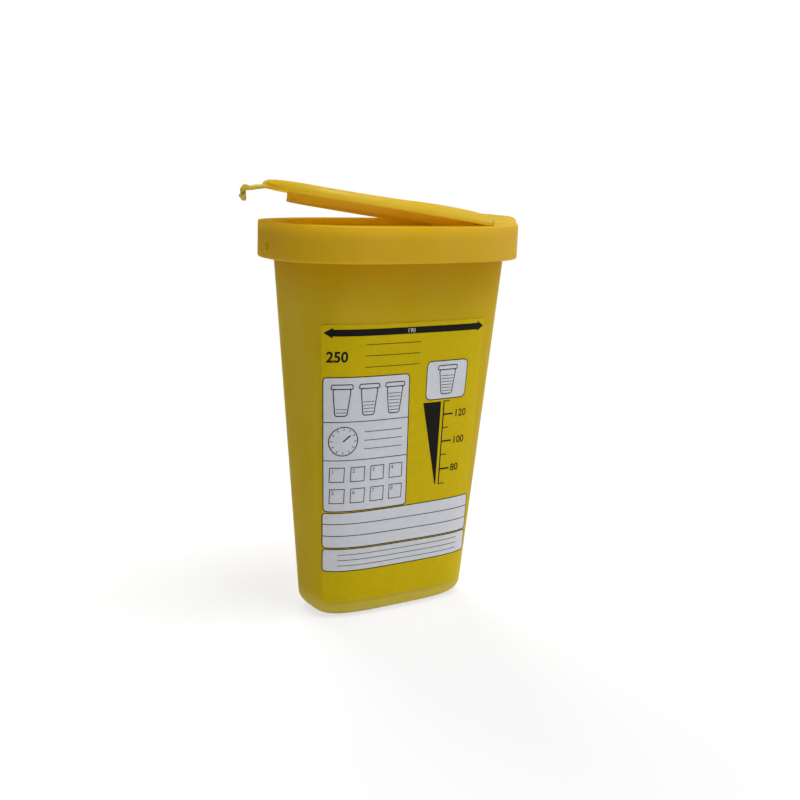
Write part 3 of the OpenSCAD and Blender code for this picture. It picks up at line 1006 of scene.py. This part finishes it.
# Label
# A printed plastic film stuck round the cup's front: a deeper yellow than the moulding, with a black
# fill-line arrow, white panels with black rules, a fill scale and plain numbers of its own. The print
# is laid out flat, in millimetres round the front from its middle and up from the base.
LABEL_Z0 = 6.0 * MM
LABEL_Z1 = 104.0 * MM
LABEL_T = 0.15 * MM
LABEL_GAP = 0.04 * MM
LABEL_LEFT = (1.4 * MM, 4.4 * MM)
LABEL_RIGHT = (3.5 * MM, 10.6 * MM)
LABEL_CORNER = 1.6
BEND_STEP = 0.8
BEND_OVERRUN = 1
WRAP_STEPS = 360
ARC_POINTS = 400
CUT_WITHIN = 1e-4
INK_GLOSS = 0.05
INK_DEEP = 0.93
LINE = 0.36
LINE_END = 0.3
FIGURE_SIZE = 1 / 0.69


def film_ink(name, colour, roughness):
    """Screen ink on film: an even satin coat with a faint mottle and slight waves in the film."""
    material, tree, surface = new_material(name)
    place = add_node(tree, "ShaderNodeTexCoord").outputs["Object"]
    mottle = noise(tree, place, scale=420, detail=4)
    deep = [c * INK_DEEP for c in colour]
    satin = ranged(tree, mottle, (0, 1), (roughness - 0.05, roughness + 0.08))
    waves = add_node(tree, "ShaderNodeBump", {
        "Strength": 0.25, "Distance": 0.15 * MM, "Height": noise(tree, place, scale=70, detail=2)})
    feed(tree, surface, {"Base Color": tone_ramp(tree, mottle, ((0.3, deep), (0.7, colour))),
                         "Roughness": satin, "Specular IOR Level": INK_GLOSS,
                         "Normal": waves.outputs["Normal"]})
    return material


inks = [
    film_ink("label_yellow", (0.65, 0.48, 0.002), roughness=0.34),
    film_ink("label_black", (0.012, 0.010, 0.008), roughness=0.38),
    film_ink("label_white", (0.72, 0.735, 0.79), roughness=0.36),
]
INK_YELLOW, INK_BLACK, INK_WHITE = range(3)


def wrapped(spots, out):
    """Takes spots of the flat label to the cup's surface."""
    around, z = np.asarray(spots, float).T * MM
    a, b = (np.asarray(half)[:, None] + out for half in cup_half(z))
    angles = np.linspace(-math.pi / 2, math.pi / 2, 2 * WRAP_STEPS + 1)
    power = 2 / CUP_SQUARENESS
    x = a * np.sign(np.sin(angles)) * np.abs(np.sin(angles)) ** power
    y = -b * np.abs(np.cos(angles)) ** power
    lengths = np.concatenate([np.zeros((len(z), 1)), np.cumsum(np.hypot(np.diff(x), np.diff(y)), 1)], 1)
    lengths -= lengths[:, [WRAP_STEPS]]
    return [(float(np.interp(s, row, xs)), float(np.interp(s, row, ys)), float(h))
            for s, row, xs, ys, h in zip(around, lengths, x, y, z)]


def arc_at(x, z):
    """Distance round the front, in millimetres, of the point of the cup's front at x and z."""
    a, b = (half + LABEL_GAP + LABEL_T for half in cup_half(z))
    steps = np.linspace(0, x, ARC_POINTS)
    depth = b * (1 - (np.abs(steps) / a) ** CUP_SQUARENESS) ** (1 / CUP_SQUARENESS)
    return float(np.sign(x) * np.sum(np.hypot(np.diff(steps), np.diff(depth))) / MM)


def label_edge(insets, side, z):
    """Place of the label's edge round the front at a height."""
    share = (z - LABEL_Z0) / (LABEL_Z1 - LABEL_Z0)
    return arc_at(side * (cup_half(z)[0] - insets[0] - (insets[1] - insets[0]) * share), z)


shapes = []


def printed(ink, outline):
    """Adds one filled shape to the print, over what is there."""
    shapes.append((ink, [(tuple(p), tuple(q)) for p, q in zip(outline, outline[1:] + outline[:1])]))


def drawn(points, width=LINE, closed=False):
    """Adds a black line of a given width to the print."""
    spots = [Vector(p) for p in points]
    if closed:
        spots.append(spots[0])
    for first, last in zip(spots, spots[1:]):
        run = (last - first).normalized() * width
        side = Vector((-run.y, run.x)) / 2
        start = first - run * LINE_END
        end = last + run * LINE_END
        printed(INK_BLACK, [start - side, end - side, end + side, start + side])


def panel(corners, radius=1.6):
    """Adds a white panel with a black border."""
    outline = rounded_loop(corners, radius)
    printed(INK_WHITE, outline)
    drawn(outline, closed=True)


def number(text, place, height, bold=0.0, ink=INK_BLACK):
    """Adds plain figures to the print, with their lower left corner at a place."""
    curve = bpy.data.curves.new("figures", "FONT")
    curve.body = text
    curve.offset = bold
    curve.resolution_u = 4
    made = added("figures", curve)
    bpy.context.view_layer.update()
    mesh = final_mesh(made)
    scale = height * FIGURE_SIZE
    spots = [(place[0] + v.co.x * scale, place[1] + v.co.y * scale) for v in mesh.vertices]
    uses = Counter(key for face in mesh.polygons for key in face.edge_keys)
    shapes.append((ink, [(spots[i], spots[j]) for (i, j), count in uses.items() if count == 1]))
    bpy.data.objects.remove(made)
    bpy.data.meshes.remove(mesh)
    bpy.data.curves.remove(curve)


# The label's own outline comes first, and everything else is printed on it.
bottom_left, top_left = ((label_edge(LABEL_LEFT, -1, z), z / MM) for z in (LABEL_Z0, LABEL_Z1))
bottom_right, top_right = ((label_edge(LABEL_RIGHT, 1, z), z / MM) for z in (LABEL_Z0, LABEL_Z1))
printed(INK_YELLOW, rounded_loop([bottom_right, top_right, top_left, bottom_left], LABEL_CORNER))

# The fill line, a black bar with an arrow head at each end, and blank lines under it.
FILL_Z = 101.3
BAR_HALF = 1.15
BAR_MARGIN = 0.7
HEAD_HALF = 1.8
HEAD_L = 3.1
BLANK_LINES = (89.6, 93.4, 97.2)
BLANK_LEFT = -20.0
BLANK_RIGHT = 1.0
bar_left = label_edge(LABEL_LEFT, -1, FILL_Z * MM) + BAR_MARGIN
bar_right = label_edge(LABEL_RIGHT, 1, FILL_Z * MM) - BAR_MARGIN
left_neck = bar_left + HEAD_L
right_neck = bar_right - HEAD_L
printed(INK_BLACK, [
    (bar_left, FILL_Z), (left_neck, FILL_Z - HEAD_HALF), (left_neck, FILL_Z - BAR_HALF),
    (right_neck, FILL_Z - BAR_HALF), (right_neck, FILL_Z - HEAD_HALF), (bar_right, FILL_Z),
    (right_neck, FILL_Z + HEAD_HALF), (right_neck, FILL_Z + BAR_HALF), (left_neck, FILL_Z + BAR_HALF),
    (left_neck, FILL_Z + HEAD_HALF)])
number("190", (-4.6, FILL_Z - 0.75), height=1.5, ink=INK_WHITE)
number("250", (-33.6, 91.6), height=3.4, bold=0.03)
for z in BLANK_LINES:
    drawn([(BLANK_LEFT, z), (BLANK_RIGHT, z)], width=0.24)

# A panel in three cells: cups with rising levels, a dial beside blank lines, and boxes to tick.
CELL_TOP = 86.4
CELL_BOTTOM = 39.5
CELL_SPLITS = (71.1, 57.7)
CELL_LEFT = (-34.3, -31.9)
CELL_RIGHT = (-2.6, -0.9)
CUP_ROW = 73.2
CUP_LEVELS = 8
CUP_TAPER = 0.33
LEVEL_INSET = 0.5
RIM_H = 1.5
RIM_FOOT_OUT = 0.7
RIM_TOP_OUT = 0.5
DIAL_ROW = 64.4
DIAL_LINES = (DIAL_ROW - 3, DIAL_ROW, DIAL_ROW + 3)
DIAL_POINTS = 48
DIAL_MARKS = 12
MARK_FROM = 0.76
MARK_TO = 0.9
HAND_RIGHT = 0.45
HAND_UP = 0.38
BOXES = 8
BOXES_IN_ROW = 4
BOX_FIRST = 0.15
BOX_STEP = 0.235
BOX_ROW = 52.6
BOX_ROW_STEP = 7.6
BOX_HALF = 2.5


def in_cells(u, z):
    """A place in the cells: u runs from 0 at their left side to 1 at their right."""
    share = (CELL_TOP - z) / (CELL_TOP - CELL_BOTTOM)
    left, right = (top + (bottom - top) * share for top, bottom in (CELL_LEFT, CELL_RIGHT))
    return (left + (right - left) * u, z)


def tapered(x, low, half_low, high, half_high):
    """Corners of a shape that tapers evenly on both sides of x."""
    return [(x - half_low, low), (x + half_low, low), (x + half_high, high), (x - half_high, high)]


def cup_picture(x, base, width, height, level):
    """The outline of a cup with a rim, ruled up to a level in eighths."""
    half_top = width / 2
    half_base = width * CUP_TAPER
    top = base + height
    wall = tapered(x, base, half_base, top, half_top)
    rim = tapered(x, top, half_top + RIM_FOOT_OUT, top + RIM_H, half_top + RIM_TOP_OUT)
    drawn(rounded_loop(wall, radius=0.9, steps=4), closed=True)
    drawn(rounded_loop(rim, radius=0.5, steps=3), closed=True)
    for i in range(1, level + 1):
        z = base + height * i / CUP_LEVELS
        reach = half_base + (half_top - half_base) * i / CUP_LEVELS - LEVEL_INSET
        drawn([(x - reach, z), (x + reach, z)], width=0.22)


def dial_picture(x, z, radius):
    """A dial with marks and a hand."""
    turns = [2 * math.pi * i / DIAL_POINTS for i in range(DIAL_POINTS)]
    drawn([(x + radius * math.cos(t), z + radius * math.sin(t)) for t in turns], closed=True)
    mark_ends = (radius * MARK_FROM, radius * MARK_TO)
    for t in turns[::DIAL_POINTS // DIAL_MARKS]:
        drawn([(x + r * math.cos(t), z + r * math.sin(t)) for r in mark_ends], width=0.28)
    drawn([(x, z), (x + radius * HAND_RIGHT, z + radius * HAND_UP)], width=0.5)


panel([in_cells(0, CELL_BOTTOM), in_cells(1, CELL_BOTTOM), in_cells(1, CELL_TOP), in_cells(0, CELL_TOP)])
for split in CELL_SPLITS:
    drawn([in_cells(0.01, split), in_cells(0.99, split)], width=0.3)
for u, level in ((0.19, 2), (0.50, 4), (0.81, 6)):
    cup_picture(*in_cells(u, CUP_ROW), width=6.2, height=9.2, level=level)
dial_picture(*in_cells(0.22, DIAL_ROW), radius=5.0)
for z in DIAL_LINES:
    drawn([in_cells(0.46, z), in_cells(0.92, z)], width=0.26)
for i in range(BOXES):
    row, column = divmod(i, BOXES_IN_ROW)
    x, z = in_cells(BOX_FIRST + BOX_STEP * column, BOX_ROW - BOX_ROW_STEP * row)
    drawn(tapered(x, z - BOX_HALF, BOX_HALF, z + BOX_HALF, BOX_HALF), width=0.3, closed=True)
    number(str(i + 1), (x - BOX_HALF + 0.5, z + BOX_HALF - 1.9), height=1.4)

# A fill scale with a wedge beside it. Its heights follow the cup's inside volume. A small panel over
# it shows the level at the fill line.
SCALE_X = 12.5
SCALE_MARKS = range(70, 131, 10)
FILL_STEP = 0.2 * MM
MILLILITRE = 1e-6
WEDGE_X = SCALE_X - 1.3
WEDGE_W = 7.5
WEDGE_POINT_W = 0.4
MARK_L = 2.4
LARGE_MARK_L = 4.0
LARGE_MARK_EVERY = 20
SMALL_PANEL = ((4.6, 76.4), (21.4, 76.4), (21.8, 90.0), (4.4, 90.0))


def fill_height(millilitres):
    """Height inside the cup that holds a volume."""
    spread = math.gamma(1 + 1 / CUP_SQUARENESS) ** 2 / math.gamma(1 + 2 / CUP_SQUARENESS)
    held = 0.0
    z = CUP_FLOOR
    while held < millilitres * MILLILITRE:
        a, b = cup_half(z)
        held += 4 * (a - CUP_WALL) * (b - CUP_WALL) * spread * FILL_STEP
        z += FILL_STEP
    return z / MM


scale_low = fill_height(SCALE_MARKS[0])
scale_high = fill_height(SCALE_MARKS[-1])
drawn([(SCALE_X, scale_low), (SCALE_X, scale_high)], width=0.5)
for mark in SCALE_MARKS:
    z = fill_height(mark)
    if mark % LARGE_MARK_EVERY:
        drawn([(SCALE_X, z), (SCALE_X + MARK_L, z)])
    else:
        drawn([(SCALE_X, z), (SCALE_X + LARGE_MARK_L, z)], width=0.6)
        number(str(mark), (SCALE_X + 4.8, z - 1.2), height=2.5, bold=0.02)
printed(INK_BLACK, [(WEDGE_X - WEDGE_POINT_W, scale_low), (WEDGE_X, scale_low), (WEDGE_X, scale_high),
                    (WEDGE_X - WEDGE_W, scale_high)])
panel(SMALL_PANEL, radius=2.2)
cup_picture(13.1, 78.2, width=6.8, height=8.6, level=6)

# A ruled form to write on, and a box of blank lines under it. The form's rules have a height at each end.
FORM = ((-31.6, 26.3), (27.7, 25.7), (27.4, 39.2), (-32.2, 38.9))
FORM_RULES = ((30.6, 30.2), (34.9, 34.7))
LINED_BOX = ((-31.2, 17.6), (27.8, 17.4), (27.8, 25.2), (-31.5, 25.8))
BOX_LINES = (19.6, 21.6, 23.6)
BOX_LINE_FALL = 0.3
panel(FORM, radius=1.4)
for left_z, right_z in FORM_RULES:
    drawn([(-31.8, left_z), (27.5, right_z)], width=0.3)
panel(LINED_BOX, radius=1.4)
for z in BOX_LINES:
    drawn([(-26.0, z), (23.0, z - BOX_LINE_FALL)], width=0.24)


def inside(edges, spots):
    """Which of the spots lie within a set of outlines, by the even-odd rule."""
    within = np.zeros(len(spots), bool)
    for (x0, y0), (x1, y1) in edges:
        if y0 == y1:
            continue
        crossing = (spots[:, 1] > y0) != (spots[:, 1] > y1)
        within ^= crossing & (spots[:, 0] < x0 + (spots[:, 1] - y0) * (x1 - x0) / (y1 - y0))
    return within


def label_mesh():
    """Cuts the flat label along every printed outline and along upright bend lines, and wraps it."""
    spots = [p for _, edges in shapes for edge in edges for p in edge]
    label_outline = shapes[0][1]
    places = [p[0] for edge in label_outline for p in edge]
    low = min(places)
    for i in range(int((max(places) - low) / BEND_STEP) + 1):
        x = low + (i + 0.5) * BEND_STEP
        spots += [(x, LABEL_Z0 / MM - BEND_OVERRUN), (x, LABEL_Z1 / MM + BEND_OVERRUN)]
    cuts = [(i, i + 1) for i in range(0, len(spots), 2)]
    flat, _, triangles = delaunay_2d_cdt([Vector(p) for p in spots], cuts, [], 0, CUT_WITHIN)[:3]
    flat = np.array([tuple(p) for p in flat])
    triangles = np.array(triangles)
    triangles = triangles[inside(label_outline, flat[triangles].mean(1))]
    middles = flat[triangles].mean(1)
    ink_of = np.zeros(len(triangles), int)
    for ink, edges in shapes:
        ink_of[inside(edges, middles)] = ink
    used, front = np.unique(triangles, return_inverse=True)
    flat = flat[used]
    count = len(flat)
    front = [tuple(int(i) for i in tri) for tri in front.reshape(-1, 3)]
    back = [tuple(i + count for i in reversed(tri)) for tri in front]
    sides = {pair for tri in front for pair in zip(tri, tri[1:] + tri[:1])}
    rim = [(q, p, p + count, q + count) for p, q in sorted(sides) if (q, p) not in sides]
    points = wrapped(flat, LABEL_GAP + LABEL_T) + wrapped(flat, LABEL_GAP)
    mesh = bpy.data.meshes.new("label")
    mesh.from_pydata(points, [], front + back + rim)
    for ink in inks:
        mesh.materials.append(ink)
    ink_rows = [*ink_of, *[INK_WHITE] * len(back), *[INK_YELLOW] * len(rim)]
    mesh.polygons.foreach_set("material_index", ink_rows)
    outward(mesh)
    mesh.shade_smooth()
    mesh.set_sharp_from_angle(angle=SHARP_ANGLE)
    return mesh


label = added("label", label_mesh())
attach(label, "container")
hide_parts("front_label")
